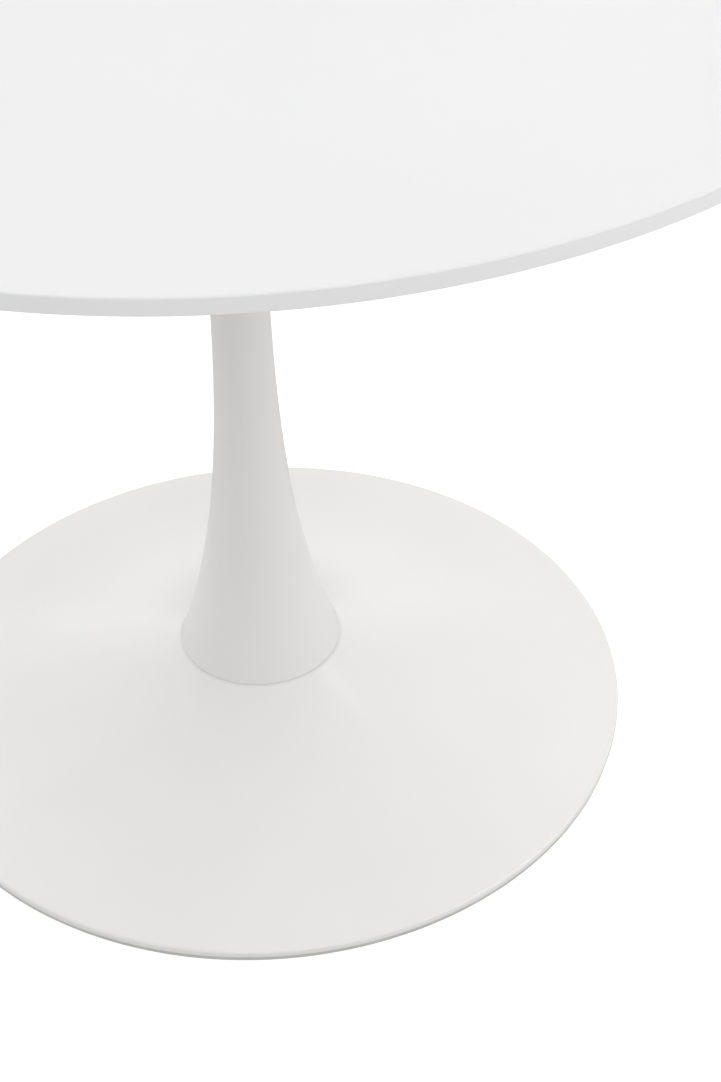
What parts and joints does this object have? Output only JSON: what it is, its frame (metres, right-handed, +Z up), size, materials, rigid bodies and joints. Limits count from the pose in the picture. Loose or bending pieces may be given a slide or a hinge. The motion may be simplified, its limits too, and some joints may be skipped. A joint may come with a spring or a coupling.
{
  "type": "round pedestal table",
  "caption": "Round table with a thin flat top on a slim trumpet-shaped column and a shallow flared round foot, for dining or working at.",
  "frame": {"origin": "on the floor, at the centre of the foot, under the centre of the top", "axes": "+Z up along the column's axis; the table is round, so +X and +Y are any two level directions at right angles"},
  "size_m": [0.9999, 1, 0.75],
  "materials": {
    "top_lacquer": "white satin lacquer on fibreboard",
    "column_plastic": "white semi-gloss moulded plastic",
    "base_coat": "white semi-gloss coating on steel sheet",
    "floor_ring_plastic": "soft grey plastic",
    "plate_coat": "white powder coating on steel",
    "ballast_coat": "black powder coating on steel plate",
    "hub_iron": "turned grey iron, oiled",
    "zinc_steel": "zinc-plated steel",
    "brass": "plain brass",
    "inner_plastic": "grey moulded plastic",
    "gasket": "thin pale grey rubber",
    "foam": "black closed-cell foam",
    "felt": "grey felt"
  },
  "bodies": {
    "root": {"tabletop": "top_lacquer", "threaded_inserts": "brass", "top_pad": "foam", "mounting_plate": "plate_coat", "mounting_washers": "zinc_steel", "mounting_screws": "zinc_steel", "rod_boss": "plate_coat", "head_centring_ring": "plate_coat", "head_gasket": "gasket", "column_shell": "column_plastic", "tie_rod": "zinc_steel", "rod_sleeve": "inner_plastic", "foot_centring_disc": "inner_plastic", "foot_gasket": "gasket", "locating_pins": "zinc_steel", "base_shell": "base_coat", "base_hub": "hub_iron", "clamp_washer": "zinc_steel", "spring_washer": "zinc_steel", "clamp_nut": "zinc_steel", "ballast_plate": "ballast_coat", "hub_screws": "zinc_steel", "damping_ring": "foam", "floor_ring": "floor_ring_plastic", "glide_pads": "felt"}
  },
  "joints": []
}
